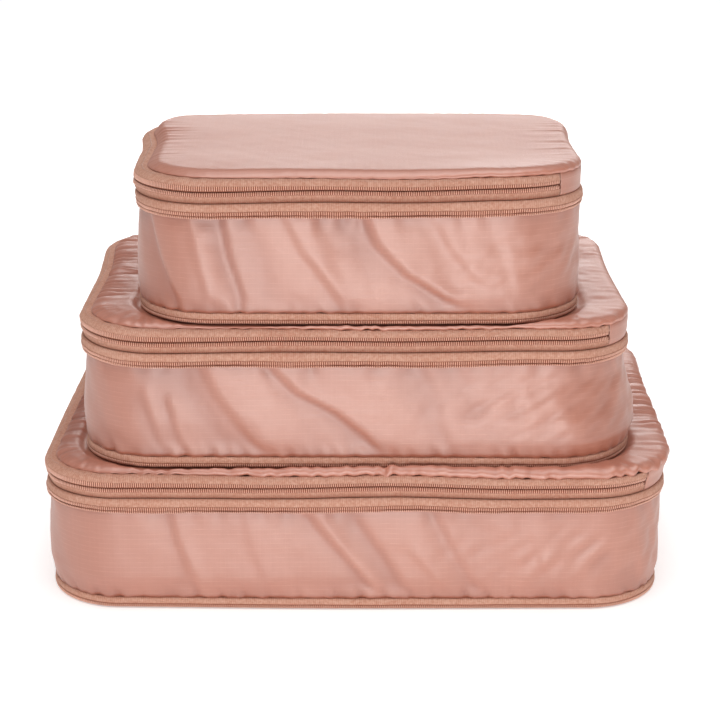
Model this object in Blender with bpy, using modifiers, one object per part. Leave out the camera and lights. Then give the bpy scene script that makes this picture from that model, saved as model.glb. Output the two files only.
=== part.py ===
"""Three compression packing cubes, stacked small on medium on large.

Metres, +Z up, +X to the lids' hinge side, -Y to the front. The origin is the centre of the
large cube's base. Every cube is the same construction at its own size: a base tray, a tall
side wall, a rim that carries the lower half of the main zip and the upper half of the
squeeze zip, and a lid that hinges on a plain fabric strip along the right-hand side.
"""

import math

import bmesh
import bpy
from mathutils import Matrix, Vector

# Each cube: outside width and depth of its wall, and the centre of its base.
CORNER = 0.050
STACK_PITCH = 0.0925
CUBES = {
    "large": {"width": 0.400, "depth": 0.300, "centre": (0.0, 0.0)},
    "medium": {"width": 0.352, "depth": 0.250, "centre": (0.001, -0.0125)},
    "small": {"width": 0.280, "depth": 0.196, "centre": (0.0035, -0.0315)},
}
ARC_STEP_DEG = 15.0

# Heights above the cube's own base, from the bottom up.
GAP = 0.0003
TRAY_TOP = 0.0070
WALL_BOTTOM = TRAY_TOP + GAP
WALL_TOP = 0.0756
RIM_BOTTOM = WALL_TOP + GAP
SLOT_BOTTOM = 0.0830
SLOT_TOP = 0.0842
TAPE_TOP = 0.0902
LID_BOTTOM = TAPE_TOP + GAP
LID_TOP = STACK_PITCH - GAP

# Cloth thicknesses and how far the rings stand from the wall's outer line.
WALL_THICK = 0.0012
TAPE_THICK = 0.0008
BINDING_THICK = 0.0015
BASE_BINDING_LOW = 0.0045
BASE_BINDING_HIGH = 0.0095
RIM_BINDING_LOW = 0.0730
RIM_BINDING_HIGH = 0.0790
LID_BINDING_LOW = 0.0872
BINDING_INSET = WALL_THICK + GAP
COIL_THICK = 0.0015
COIL_INSET = TAPE_THICK + GAP
COIL_HEIGHT = 0.0017
SEAM_OUT = GAP

# The squeeze zip's half tapes flare away from the wall towards their toothed lower edges.
SQUEEZE_COIL = 0.0018
SQUEEZE_COIL_LOW = 0.0668
SQUEEZE_TAPE_LOW = SQUEEZE_COIL_LOW + SQUEEZE_COIL + GAP
SQUEEZE_LOW_IN = 0.0024
BASE_COIL_LOW = 0.0004
BASE_TAPE_LOW = BASE_COIL_LOW + SQUEEZE_COIL + GAP
BASE_LOW_IN = 0.0018
BASE_TAPE_TOP = 0.0069

# The hinge strip takes this much of the two right-hand corners, and its seams this much gap.
STRIP_DEG = 48.0
SEAM_DEG = 0.4
HINGE_OUT = 0.0003
HINGE_Z = LID_BOTTOM - GAP / 2
ZIP_END_GAP = 0.012

# Sliders and pulls, all on the back. A slider's plates lie in front of and behind the tape.
SLIDER_LENGTH = 0.010
WEB_SHARE = 0.6
JOIN = 0.0003
PLATE_THICK = 0.0012
FRONT_HALF = 0.0040
REAR_HALF = 0.0030
WEB_HALF = 0.0003
HOOK_PLATE = 0.0011
HOOK_TOP = 0.0035
HOOK_LIP = 0.0010
HOOK_REAR_IN = 0.0004
HOOK_REAR_OUT = 0.0016
COIL_CLEAR = 0.0004
SQUEEZE_AXIS_Z = 0.0695
SQUEEZE_PARKED = 0.7 * SLIDER_LENGTH
BRIDGE_HALF = 0.0015
BRIDGE_WALL = 0.0008
BRIDGE_WIDTH = 0.0020
AXIS_HEIGHT = 0.0010
PULL_LENGTH = 0.022
PULL_WIDTH = 0.0070
PULL_THICK = 0.0010
PULL_SLOT = (0.0005, 0.0035, 0.0030)

ROSE = (0.62, 0.33, 0.27)
ROSE_PALE = (0.69, 0.41, 0.35)
TAN = (0.60, 0.33, 0.25)
METAL = (0.55, 0.36, 0.30)


def clear_scene():
    for obj in list(bpy.data.objects):
        bpy.data.objects.remove(obj, do_unlink=True)


def make_collection(name):
    collection = bpy.data.collections.new(name)
    bpy.context.scene.collection.children.link(collection)
    return collection


def add_material(obj, colour, roughness=0.6, metallic=0.0):
    material = bpy.data.materials.new(obj.name)
    material.use_nodes = True
    shader = material.node_tree.nodes["Principled BSDF"]
    shader.inputs["Base Color"].default_value = (*colour, 1.0)
    shader.inputs["Roughness"].default_value = roughness
    shader.inputs["Metallic"].default_value = metallic
    obj.data.materials.append(material)


def make_guide(obj):
    """A guide shapes another object and is left out of the model."""
    GUIDES.objects.link(obj)
    obj.hide_render = True
    obj.display_type = "WIRE"
    return obj


def make_empty(name, parent, place):
    empty = bpy.data.objects.new(name, None)
    PARTS.objects.link(empty)
    empty.parent = parent
    empty.location = place
    return empty


def poly_curve(name, outlines, cyclic=True):
    """A flat curve of straight segments, one spline for each outline of (x, y) points."""
    curve = bpy.data.curves.new(name, "CURVE")
    curve.dimensions = "2D"
    for points in outlines:
        spline = curve.splines.new("POLY")
        spline.points.add(len(points) - 1)
        for point, (x, y) in zip(spline.points, points):
            point.co = (x, y, 0.0, 1.0)
        spline.use_cyclic_u = cyclic
    return curve


def outline(cube, first=0.0, last=360.0):
    """The wall's outer line, anticlockwise between two outward angles in degrees."""
    points = []
    for quarter in range(math.floor(first / 90), math.ceil(last / 90)):
        start = max(first, 90.0 * quarter)
        stop = min(last, 90.0 * (quarter + 1))
        side_x = 1 if quarter % 4 in (0, 3) else -1
        side_y = 1 if quarter % 4 in (0, 1) else -1
        centre_x = side_x * (cube["width"] / 2 - CORNER)
        centre_y = side_y * (cube["depth"] / 2 - CORNER)
        steps = max(1, round((stop - start) / ARC_STEP_DEG))
        for step in range(steps + 1):
            angle = math.radians(start + (stop - start) * step / steps)
            points.append((centre_x + CORNER * math.cos(angle), centre_y + CORNER * math.sin(angle)))
    return points


def gapped_outline(cube):
    """The whole line, but for the gap between the squeeze zip's ends on the back."""
    gap_end = cube["width"] / 2 - CORNER - ZIP_END_GAP
    return [(gap_end, cube["depth"] / 2)] + outline(cube, 90.0, 450.0)


def section(name, corners, closed_ring=False):
    """A ring's cross-section: (distance outside the wall line, height) corners, clockwise.
    Blender runs a closed flat path the other way round, so its section is mirrored."""
    if closed_ring:
        corners = [(-out, height) for out, height in reversed(corners)]
    obj = bpy.data.objects.new(name, poly_curve(name, [corners]))
    return make_guide(obj)


def upright(outer, thickness, low, high):
    """A rectangle of cloth standing between two heights, its outer face at outer."""
    inner = outer - thickness
    return [(inner, low), (inner, high), (outer, high), (outer, low)]


def leaning(low_in, low, high_in, high, thickness):
    """A band of cloth whose inner face leans from low_in at the bottom to high_in at the top."""
    return [(low_in, low), (high_in, high), (high_in + thickness, high), (low_in + thickness, low)]


def sweep(name, parent, points, profile, colour, cyclic, place=(0.0, 0.0, 0.0)):
    """A cross-section carried round the cube along points."""
    curve = poly_curve(name, [points], cyclic)
    curve.bevel_mode = "OBJECT"
    curve.bevel_object = profile
    curve.use_fill_caps = not cyclic
    obj = bpy.data.objects.new(name, curve)
    PARTS.objects.link(obj)
    obj.parent = parent
    obj.location = place
    add_material(obj, colour)
    return obj


def base_tray(name, parent, cube):
    """The bottom panel with its edges turned up to the wall's seam."""
    mesh = bpy.data.meshes.new(name)
    build = bmesh.new()
    corners = [build.verts.new((x, y, 0.0)) for x, y in outline(cube)]
    bmesh.ops.contextual_create(build, geom=corners)
    raised = bmesh.ops.extrude_edge_only(build, edges=build.edges[:])
    lifted = [item for item in raised["geom"] if isinstance(item, bmesh.types.BMVert)]
    bmesh.ops.translate(build, verts=lifted, vec=(0.0, 0.0, TRAY_TOP))
    bmesh.ops.recalc_face_normals(build, faces=build.faces[:])
    floor = max(build.faces, key=lambda face: len(face.verts))
    if floor.normal.z > 0:
        bmesh.ops.reverse_faces(build, faces=build.faces[:])
    build.to_mesh(mesh)
    build.free()
    obj = bpy.data.objects.new(name, mesh)
    PARTS.objects.link(obj)
    obj.parent = parent
    shell = obj.modifiers.new("cloth", "SOLIDIFY")
    shell.thickness = WALL_THICK
    shell.offset = -1.0
    shell.use_even_offset = True
    add_material(obj, ROSE)
    return obj


def lid_plate(name, parent, cube, place):
    curve = poly_curve(name, [outline(cube)])
    curve.fill_mode = "BOTH"
    curve.extrude = (LID_TOP - LID_BOTTOM) / 2
    obj = bpy.data.objects.new(name, curve)
    PARTS.objects.link(obj)
    obj.parent = parent
    obj.location = Vector(place) + Vector((0.0, 0.0, (LID_TOP + LID_BOTTOM) / 2))
    add_material(obj, ROSE_PALE, 0.5)
    return obj


def box_mesh(name, low, high):
    low, high = Vector(low), Vector(high)
    mesh = bpy.data.meshes.new(name)
    build = bmesh.new()
    place = Matrix.Translation((low + high) / 2) @ Matrix.Diagonal((*(high - low), 1.0))
    bmesh.ops.create_cube(build, size=1.0, matrix=place)
    build.to_mesh(mesh)
    build.free()
    return bpy.data.objects.new(name, mesh)


def change_shape(target, operation, tool):
    """A Boolean of target with tool, which becomes a guide that moves with it."""
    make_guide(tool)
    tool.parent = target
    change = target.modifiers.new(tool.name, "BOOLEAN")
    change.operation = operation
    change.object = tool


def slider(name, parent, place, front, web, rear):
    """A zip slider. Boxes are (y low, y high, z low, z high) round the slider's origin,
    which is the pull's axis on the bridge, and each web or plate is centred on x."""
    half = SLIDER_LENGTH / 2
    web_half = WEB_SHARE * half
    obj = box_mesh(name, (-half, front[0], front[2]), (half, front[1], front[3]))
    PARTS.objects.link(obj)
    obj.parent = parent
    obj.location = place
    web_low = (-web_half, web[0] - JOIN, web[2])
    web_high = (web_half, web[1] + JOIN, web[3])
    change_shape(obj, "UNION", box_mesh(name + "_web", web_low, web_high))
    rear_plate = box_mesh(name + "_rear", (-half, rear[0], rear[2]), (half, rear[1], rear[3]))
    change_shape(obj, "UNION", rear_plate)
    reach = BRIDGE_HALF + BRIDGE_WALL
    side = BRIDGE_WIDTH / 2
    sunk = front[1] - BRIDGE_WALL / 2
    bridge = box_mesh(name + "_bridge", (-reach, sunk, -side), (reach, AXIS_HEIGHT + BRIDGE_WALL, side))
    change_shape(obj, "UNION", bridge)
    eye = box_mesh(name + "_eye", (-BRIDGE_HALF, front[1], -2 * side), (BRIDGE_HALF, AXIS_HEIGHT, 2 * side))
    change_shape(obj, "DIFFERENCE", eye)
    add_material(obj, METAL, 0.35, 0.8)
    return obj


def pull(name, parent):
    """A flat tab whose slotted end hooks the slider's bridge. It lies along +X at rest."""
    half = PULL_WIDTH / 2
    end = PULL_LENGTH - half
    bar, slot_end, slot_width = PULL_SLOT
    tip = [
        (end + half * math.cos(math.radians(angle)), half * math.sin(math.radians(angle)))
        for angle in range(-90, 91, 30)
    ]
    edge = [(-bar, half), (-bar, -half)] + tip
    side = slot_width / 2
    slot = [(bar, -side), (slot_end, -side), (slot_end, side), (bar, side)]
    curve = poly_curve(name, [edge, slot])
    curve.fill_mode = "BOTH"
    curve.extrude = PULL_THICK / 2
    obj = bpy.data.objects.new(name, curve)
    PARTS.objects.link(obj)
    obj.parent = parent
    obj.rotation_euler = (math.radians(90.0), 0.0, 0.0)
    add_material(obj, METAL, 0.4, 0.6)
    return obj


def main_slider(prefix, parent, cube):
    """It straddles both halves of the main zip, its web in the slot between them."""
    face = GAP + PLATE_THICK
    middle = (SLOT_BOTTOM + SLOT_TOP) / 2
    axis_out = face + AXIS_HEIGHT
    place = (cube["width"] / 2 - CORNER - ZIP_END_GAP, cube["depth"] / 2 + axis_out, middle)
    coil_back = -(COIL_INSET + COIL_THICK + GAP)
    front = (GAP - axis_out, face - axis_out, -FRONT_HALF, FRONT_HALF)
    web = (coil_back - axis_out, GAP - axis_out, -WEB_HALF, WEB_HALF)
    rear = (coil_back - PLATE_THICK - axis_out, coil_back - axis_out, -REAR_HALF, REAR_HALF)
    made = slider(prefix + "main_slider", parent, place, front, web, rear)
    pull(prefix + "main_pull", made)


def squeeze_slider(prefix, parent, cube):
    """It hooks under the coil of the squeeze zip's hanging half."""
    back_of_front = SQUEEZE_LOW_IN + TAPE_THICK + COIL_CLEAR + GAP
    face = back_of_front + HOOK_PLATE
    axis_out = face + AXIS_HEIGHT
    low = SQUEEZE_COIL_LOW - GAP - HOOK_LIP - SQUEEZE_AXIS_Z
    parked = cube["width"] / 2 - CORNER - ZIP_END_GAP - SQUEEZE_PARKED
    place = (parked, cube["depth"] / 2 + axis_out, SQUEEZE_AXIS_Z)
    front = (back_of_front - axis_out, face - axis_out, low, HOOK_TOP)
    web = (HOOK_REAR_OUT - axis_out, back_of_front - axis_out, low, low + HOOK_LIP)
    rear = (HOOK_REAR_IN - axis_out, HOOK_REAR_OUT - axis_out, low, 0.0)
    made = slider(prefix + "squeeze_slider", parent, place, front, web, rear)
    pull(prefix + "squeeze_pull", made)


def coil_section(name, middle, low):
    half = SQUEEZE_COIL / 2
    return section(name, upright(middle + half, SQUEEZE_COIL, low, low + SQUEEZE_COIL))


def make_sections():
    lower_tape_mid = BASE_LOW_IN + TAPE_THICK / 2
    upper_tape_mid = SQUEEZE_LOW_IN + TAPE_THICK / 2
    binding_out = -BINDING_INSET
    return {
        "base_binding": section(
            "section_base_binding",
            upright(binding_out, BINDING_THICK, BASE_BINDING_LOW, BASE_BINDING_HIGH),
            True,
        ),
        "base_tape": section(
            "section_base_tape",
            leaning(BASE_LOW_IN, BASE_TAPE_LOW, SEAM_OUT, BASE_TAPE_TOP, TAPE_THICK),
        ),
        "base_coil": coil_section("section_base_coil", lower_tape_mid, BASE_COIL_LOW),
        "wall": section("section_wall", upright(0.0, WALL_THICK, WALL_BOTTOM, WALL_TOP), True),
        "rim_binding": section(
            "section_rim_binding",
            upright(binding_out, BINDING_THICK, RIM_BINDING_LOW, RIM_BINDING_HIGH),
            True,
        ),
        "squeeze_tape": section(
            "section_squeeze_tape",
            leaning(SQUEEZE_LOW_IN, SQUEEZE_TAPE_LOW, SEAM_OUT, RIM_BOTTOM, TAPE_THICK),
        ),
        "squeeze_coil": coil_section("section_squeeze_coil", upper_tape_mid, SQUEEZE_COIL_LOW),
        "lower_tape": section("section_lower_tape", upright(0.0, TAPE_THICK, RIM_BOTTOM, SLOT_BOTTOM)),
        "lower_coil": section(
            "section_lower_coil",
            upright(-COIL_INSET, COIL_THICK, SLOT_BOTTOM - COIL_HEIGHT, SLOT_BOTTOM),
        ),
        "strip": section("section_strip", upright(0.0, TAPE_THICK, RIM_BOTTOM, TAPE_TOP)),
        "upper_tape": section("section_upper_tape", upright(0.0, TAPE_THICK, SLOT_TOP, TAPE_TOP)),
        "upper_coil": section(
            "section_upper_coil",
            upright(-COIL_INSET, COIL_THICK, SLOT_TOP, SLOT_TOP + COIL_HEIGHT),
        ),
        "lid_binding": section(
            "section_lid_binding",
            upright(binding_out, BINDING_THICK, LID_BINDING_LOW, TAPE_TOP),
            True,
        ),
    }


def make_cube(size, level, sections):
    cube = CUBES[size]
    prefix = size + "_"
    whole = outline(cube)
    zipped = outline(cube, STRIP_DEG, 360.0 - STRIP_DEG)
    hinged = outline(cube, SEAM_DEG - STRIP_DEG, STRIP_DEG - SEAM_DEG)
    gapped = gapped_outline(cube)
    base = make_empty(prefix + "base_centre", None, (*cube["centre"], level * STACK_PITCH))
    rim = make_empty(prefix + "rim_centre", base, (0.0, 0.0, 0.0))
    hinge_place = Vector((cube["width"] / 2 + HINGE_OUT, 0.0, HINGE_Z))
    hinge = make_empty(prefix + "lid_hinge", rim, hinge_place)

    base_tray(prefix + "base_panel", base, cube)
    sweep(prefix + "base_binding", base, whole, sections["base_binding"], TAN, True)
    sweep(prefix + "squeeze_zip_lower_tape", base, gapped, sections["base_tape"], TAN, False)
    sweep(prefix + "squeeze_zip_lower_coil", base, gapped, sections["base_coil"], TAN, False)
    sweep(prefix + "side_wall", base, whole, sections["wall"], ROSE, True)

    sweep(prefix + "rim_binding", rim, whole, sections["rim_binding"], TAN, True)
    sweep(prefix + "squeeze_zip_upper_tape", rim, gapped, sections["squeeze_tape"], TAN, False)
    sweep(prefix + "squeeze_zip_upper_coil", rim, gapped, sections["squeeze_coil"], TAN, False)
    sweep(prefix + "main_zip_lower_tape", rim, zipped, sections["lower_tape"], TAN, False)
    sweep(prefix + "main_zip_lower_coil", rim, zipped, sections["lower_coil"], TAN, False)
    sweep(prefix + "hinge_strip", rim, hinged, sections["strip"], ROSE, False)
    main_slider(prefix, rim, cube)
    squeeze_slider(prefix, rim, cube)

    back = -hinge_place
    sweep(prefix + "main_zip_upper_tape", hinge, zipped, sections["upper_tape"], TAN, False, back)
    sweep(prefix + "main_zip_upper_coil", hinge, zipped, sections["upper_coil"], TAN, False, back)
    sweep(prefix + "lid_binding", hinge, whole, sections["lid_binding"], TAN, True, back)
    lid_plate(prefix + "lid_panel", hinge, cube, back)


clear_scene()
PARTS = make_collection("packing_cube_set")
GUIDES = make_collection("guides")
SECTIONS = make_sections()
for height, cube_size in enumerate(CUBES):
    make_cube(cube_size, height, SECTIONS)
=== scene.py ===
"""Fabric, zips and finish of the packing cube set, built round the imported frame.

Every cube is drawn by the same functions. Places and sizes come from the frame's own nodes.
Profiles are (distance outside the wall's line, height above the cube's base) in millimetres.
"""
import math

import bmesh
import bpy
import numpy as np
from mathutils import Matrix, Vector


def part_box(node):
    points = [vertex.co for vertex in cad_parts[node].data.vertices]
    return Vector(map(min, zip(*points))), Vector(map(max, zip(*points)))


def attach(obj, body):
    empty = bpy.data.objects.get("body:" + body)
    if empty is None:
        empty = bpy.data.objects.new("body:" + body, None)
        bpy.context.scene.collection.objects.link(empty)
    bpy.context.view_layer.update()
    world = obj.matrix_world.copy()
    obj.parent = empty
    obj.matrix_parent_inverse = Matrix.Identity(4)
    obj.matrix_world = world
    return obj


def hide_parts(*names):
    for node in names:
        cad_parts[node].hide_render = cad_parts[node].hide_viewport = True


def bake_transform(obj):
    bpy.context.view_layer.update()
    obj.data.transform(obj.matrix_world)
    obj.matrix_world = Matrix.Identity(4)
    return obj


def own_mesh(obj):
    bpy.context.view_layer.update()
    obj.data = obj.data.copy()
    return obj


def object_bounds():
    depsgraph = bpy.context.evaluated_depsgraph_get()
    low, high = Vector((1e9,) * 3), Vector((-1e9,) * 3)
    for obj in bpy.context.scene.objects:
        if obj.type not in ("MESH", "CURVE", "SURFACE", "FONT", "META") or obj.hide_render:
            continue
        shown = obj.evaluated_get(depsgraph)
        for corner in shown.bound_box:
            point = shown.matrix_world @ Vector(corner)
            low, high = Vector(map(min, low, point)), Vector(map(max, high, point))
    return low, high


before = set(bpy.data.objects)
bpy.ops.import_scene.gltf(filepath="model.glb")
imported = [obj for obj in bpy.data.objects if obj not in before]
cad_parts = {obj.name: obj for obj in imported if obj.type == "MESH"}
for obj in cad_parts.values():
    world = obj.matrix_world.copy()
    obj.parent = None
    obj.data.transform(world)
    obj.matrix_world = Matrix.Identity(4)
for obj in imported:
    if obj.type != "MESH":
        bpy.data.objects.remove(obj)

CAD_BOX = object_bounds()
SIZES = ("large", "medium", "small")
MM = 0.001
CORNER = 0.050

# How far round the right-hand corners the hinge strip goes, and its seams' gap, in degrees.
STRIP_DEG = 48.0
SEAM_DEG = 0.5

# Between the two ends of the squeeze zip.
ZIP_END_GAP = 0.012

# Mesh spacing, and how thick each cloth is.
COLUMN = 0.0022
PROFILE_STEPS = 65
CLOTH_THICK = 0.00045
TAPE_THICK = 0.0007
BINDING_THICK = 0.0006

# Zip teeth.
PITCH = 0.00135
RIB_WIDTH = 0.00074
STITCH_PITCH = 0.0026

# The ripstop's raised threads.
GRID_PITCH = 0.0032

# Where the hinge's line crosses the strip's profile, how far off the next rows are, both as shares of
# the profile, and how many rows there are each side.
HINGE_SHARE = 0.48
HINGE_GAP = 0.015
HINGE_ROWS = 9

# The straight stretch that the sliders need past each end of the back, and the run of cloth after it.
PULL_ROOM = 0.010
LOOSE_RUN = 0.036

# How many waves a noise is made of.
RIPPLE_WAVES = 11
CRUMPLE_WAVES = 16


# ---------------------------------------------------------------- outlines and noise

STATIONS = ("right", "back_right", "back", "back_left", "left", "front_left", "front", "front_right")


class Outline:
    """A rounded rectangle, measured anticlockwise from the middle of its right side."""

    def __init__(self, low, high):
        self.centre = np.array([low[0] + high[0], low[1] + high[1]]) / 2
        self.half = np.array([high[0] - low[0], high[1] - low[1]]) / 2
        self.inner = self.half - CORNER
        arc = CORNER * math.pi / 2
        wide, deep = 2 * self.inner
        runs = [deep / 2, arc, wide, arc, deep, arc, wide, arc, deep / 2]
        self.starts = np.concatenate([[0.0], np.cumsum(runs)])
        self.total = float(self.starts[-1])
        middles = [(self.starts[k] + self.starts[k + 1]) / 2 for k in range(1, 8)]
        self.middles = np.array([0.0] + middles + [self.total])

    def at(self, s):
        """Points on the line at arc lengths s, and their outward normals."""
        s = np.asarray(s, float) % self.total
        run = np.clip(np.searchsorted(self.starts, s, side="right") - 1, 0, 8)
        along = s - self.starts[run] + np.where(run == 0, self.inner[1], 0.0)
        curved = run % 2 == 1
        angle = (run // 2) * math.pi / 2 + np.where(curved, along / CORNER, 0.0)
        corner = np.where(curved, run // 2, (run // 2 - 1) % 4)
        side_x = np.where((corner == 0) | (corner == 3), 1.0, -1.0)
        side_y = np.where(corner < 2, 1.0, -1.0)
        normal = np.stack([np.cos(angle), np.sin(angle)], -1)
        tangent = np.stack([-normal[..., 1], normal[..., 0]], -1)
        straight = np.where(curved, 0.0, along)[..., None] * tangent
        middle = self.centre + np.stack([side_x, side_y], -1) * self.inner
        return middle + CORNER * normal + straight, normal

    def locate(self, x, y):
        """How far points are inside the line, and the nearest arc length."""
        dx, dy = x - self.centre[0], y - self.centre[1]
        qx, qy = np.abs(dx) - self.inner[0], np.abs(dy) - self.inner[1]
        cornered = (qx > 0) & (qy > 0)
        reach = np.where(cornered, np.hypot(qx, qy), np.maximum(qx, qy))
        turn = CORNER * np.arctan2(np.maximum(qy, 0.0), np.maximum(qx, 1e-9))
        arc = CORNER * math.pi / 2
        right, top = dx > 0, dy > 0
        in_corner = np.select(
            [right & top, ~right & top, ~right & ~top],
            [self.starts[1] + turn, self.starts[3] + arc - turn, self.starts[5] + turn],
            self.starts[7] + arc - turn,
        )
        on_side = np.where(right, dy % self.total, self.middles[4] - dy)
        on_end = np.where(top, self.middles[2] - dx, self.middles[6] + dx)
        s = np.where(cornered, in_corner, np.where(qx > qy, on_side, on_end))
        return CORNER - reach, s

    def front(self, x):
        """The arc length x metres to the right of the front's middle."""
        return self.middles[6] + x

    def angle(self, degrees):
        """The arc length where the outward normal, on a corner, has this angle."""
        quarter = math.floor(degrees / 90)
        turn = math.radians(degrees - 90 * quarter)
        return self.starts[2 * (quarter % 4) + 1] + CORNER * turn + self.total * (quarter // 4)

    def around(self, rest=0.0, **values):
        """A smooth function of arc length through values at the middles of sides and corners."""
        heights = np.array([values.get(name, rest) for name in STATIONS + ("right",)])

        def value(s):
            s = np.asarray(s, float) % self.total
            k = np.clip(np.searchsorted(self.middles, s, side="right") - 1, 0, 7)
            share = smooth((s - self.middles[k]) / (self.middles[k + 1] - self.middles[k]))
            return heights[k] * (1 - share) + heights[k + 1] * share

        return value


def smooth(x):
    x = np.clip(x, 0.0, 1.0)
    return x * x * (3 - 2 * x)


def bell(x, width):
    return np.exp(-((x / width) ** 2))


def ripple(s, total, wavelength, seed):
    """Smooth noise round a closed line, mostly between -1 and 1."""
    rng = np.random.default_rng(seed)
    value = np.zeros_like(np.asarray(s, float))
    for _ in range(RIPPLE_WAVES):
        turns = max(1, round(total / (wavelength * rng.uniform(0.65, 1.6))))
        value += np.sin(2 * math.pi * turns * s / total + rng.uniform(0, 2 * math.pi))
    return value / math.sqrt(RIPPLE_WAVES)


def crumple(u, v, wavelength, seed, total=None):
    """Smooth noise over a surface, of plane waves that run every way. It closes after total along u."""
    rng = np.random.default_rng(seed)
    value = np.zeros(np.broadcast(u, v).shape)
    for _ in range(CRUMPLE_WAVES):
        number = 2 * math.pi / (wavelength * rng.uniform(0.6, 1.7))
        angle = rng.uniform(-math.pi, math.pi) / 2
        ku, kv = number * math.cos(angle), number * math.sin(angle)
        if total:
            ku = round(ku * total / (2 * math.pi)) * 2 * math.pi / total
        value += np.sin(ku * u + kv * v + rng.uniform(0, 2 * math.pi))
    return value / math.sqrt(CRUMPLE_WAVES)


def profile(points):
    """A smooth curve through points in millimetres, evenly spaced, as two arrays in metres."""
    p = np.array(points, float) * MM
    p = np.concatenate([[2 * p[0] - p[1]], p, [2 * p[-1] - p[-2]]])
    t = np.linspace(0, 1, 12, endpoint=False)[:, None]
    runs = []
    for a, b, c, d in zip(p[:-3], p[1:-2], p[2:-1], p[3:]):
        runs.append(0.5 * (2 * b + (c - a) * t + (2 * a - 5 * b + 4 * c - d) * t**2
                           + (3 * b - a - 3 * c + d) * t**3))
    line = np.concatenate(runs + [p[-2:-1]])
    length = np.concatenate([[0.0], np.cumsum(np.hypot(*np.diff(line, axis=0).T))])
    steps = np.linspace(0, length[-1], PROFILE_STEPS)
    return np.interp(steps, length, line[:, 0]), np.interp(steps, length, line[:, 1])


# ---------------------------------------------------------------- meshes

def add_object(name, data):
    obj = bpy.data.objects.new(name, data)
    bpy.context.scene.collection.objects.link(obj)
    return obj


def add_piece(name, mesh, body, materials, node):
    """Puts a mesh in the scene as the piece that stands for a node of the frame."""
    for material in materials:
        mesh.materials.append(material)
    obj = add_object(name, mesh)
    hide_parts(node)
    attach(obj, body)
    return obj


class Mesh:
    """Closed bodies collected for one piece. Cloth coordinates are (along, up) in metres, then the share of
    painted shade.
    """

    def __init__(self):
        self.points, self.faces, self.cloth, self.slots = [], [], [], []
        self.count = 0

    def add(self, points, faces, cloth, slot=0):
        self.points.append(points.reshape(-1, 3))
        self.faces.append(faces.reshape(-1, 4) + self.count)
        self.cloth.append(cloth.reshape(-1, 3))
        self.slots.append(np.full(faces.reshape(-1, 4).shape[0], slot))
        self.count += self.points[-1].shape[0]

    def build(self, cube, name, body, finish, materials, node):
        """Makes the piece. The three names are given without the cube's size."""
        name, body, node = (f"{cube.size}_{word}" for word in (name, body, node))
        points = np.concatenate(self.points)
        faces = np.concatenate(self.faces)
        mesh = bpy.data.meshes.new(name)
        mesh.vertices.add(len(points))
        mesh.vertices.foreach_set("co", points.astype(np.float32).ravel())
        mesh.loops.add(faces.size)
        mesh.loops.foreach_set("vertex_index", faces.astype(np.int32).ravel())
        mesh.polygons.add(len(faces))
        mesh.polygons.foreach_set("loop_start", np.arange(0, faces.size, 4, dtype=np.int32))
        mesh.polygons.foreach_set("material_index", np.concatenate(self.slots).astype(np.int32))
        mesh.update(calc_edges=True)
        layer = mesh.attributes.new("cloth", "FLOAT_VECTOR", "CORNER")
        layer.data.foreach_set("vector", np.concatenate(self.cloth).astype(np.float32).ravel())
        mesh.validate()
        mesh.shade_smooth()
        return add_piece(name, mesh, body, materials, node)


def grid_faces(rows, columns, wrap_rows, wrap_columns):
    """Corner rows and columns of the quads of a grid, and the grid's point numbers."""
    r, c = np.meshgrid(np.arange(rows if wrap_rows else rows - 1), np.arange(columns - 1), indexing="ij")
    row = np.stack([r, r, r + 1, r + 1], -1)
    column = np.stack([c, c + 1, c + 1, c], -1)
    across = columns - 1 if wrap_columns else columns
    return row % rows, column, (row % rows) * across + column % across


def loft(mesh, cube, s, out, z, thickness, closed, slot=0, shade=0.0):
    """A cloth of real thickness whose outer face is at out and z, in rows from bottom to top."""
    d_out, d_z = np.gradient(out, axis=0), np.gradient(z, axis=0)
    length = np.hypot(d_out, d_z) + 1e-12
    both_out = np.concatenate([out, (out - thickness * d_z / length)[::-1]])
    both_z = np.concatenate([z, (z + thickness * d_out / length)[::-1]])
    xyz = cube.place(s[None, :], both_out, both_z)
    climb = np.concatenate([[0.0], np.cumsum(length[:-1].mean(axis=1))])
    up = np.concatenate([climb, climb[::-1]])
    dark = np.broadcast_to(shade, out.shape)
    dark = np.concatenate([dark, np.zeros_like(dark)])
    rows = len(up)
    row, column, number = grid_faces(rows, len(s), True, closed)
    cloth = np.stack([s[column], up[row], dark[row, column]], -1)
    mesh.add(xyz[:, :-1] if closed else xyz, number, cloth, slot)
    if not closed:
        half = np.arange(rows // 2 - 1)
        cap = np.stack([half, half + 1, rows - 2 - half, rows - 1 - half], -1)
        for end, turn in ((0, 1), (len(s) - 1, -1)):
            corners = cap[:, ::turn]
            ids = corners * len(s) + end - mesh.points[-1].shape[0]
            mesh.faces.append(ids + mesh.count)
            spots = np.stack([np.full(corners.shape, s[end]), up[corners], 0.0 * up[corners]], -1)
            mesh.cloth.append(spots.reshape(-1, 3))
            mesh.slots.append(np.full(len(corners), slot))


class Band:
    """A ribbon round a cube. Its profile blends from front to side by share(s), and shift moves it."""

    def __init__(self, cube, front, side=None, share=None, shift=None):
        self.cube = cube
        self.front = profile(front)
        self.side = profile(side or front)
        self.share = share or (lambda s: 0.0 * s)
        self.shift = shift

    def at(self, s, t):
        s, t = np.broadcast_arrays(np.asarray(s, float), np.asarray(t, float))
        steps = np.linspace(0, 1, PROFILE_STEPS)
        share = self.share(s)
        out, z = (np.interp(t, steps, a) * (1 - share) + np.interp(t, steps, b) * share
                  for a, b in zip(self.front, self.side))
        if self.shift:
            out, z = self.shift(s, t, out, z)
        return out, z + self.cube.floor


def columns(start, stop, spacing=COLUMN):
    return np.linspace(start, stop, math.ceil((stop - start) / spacing) + 1)


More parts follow.
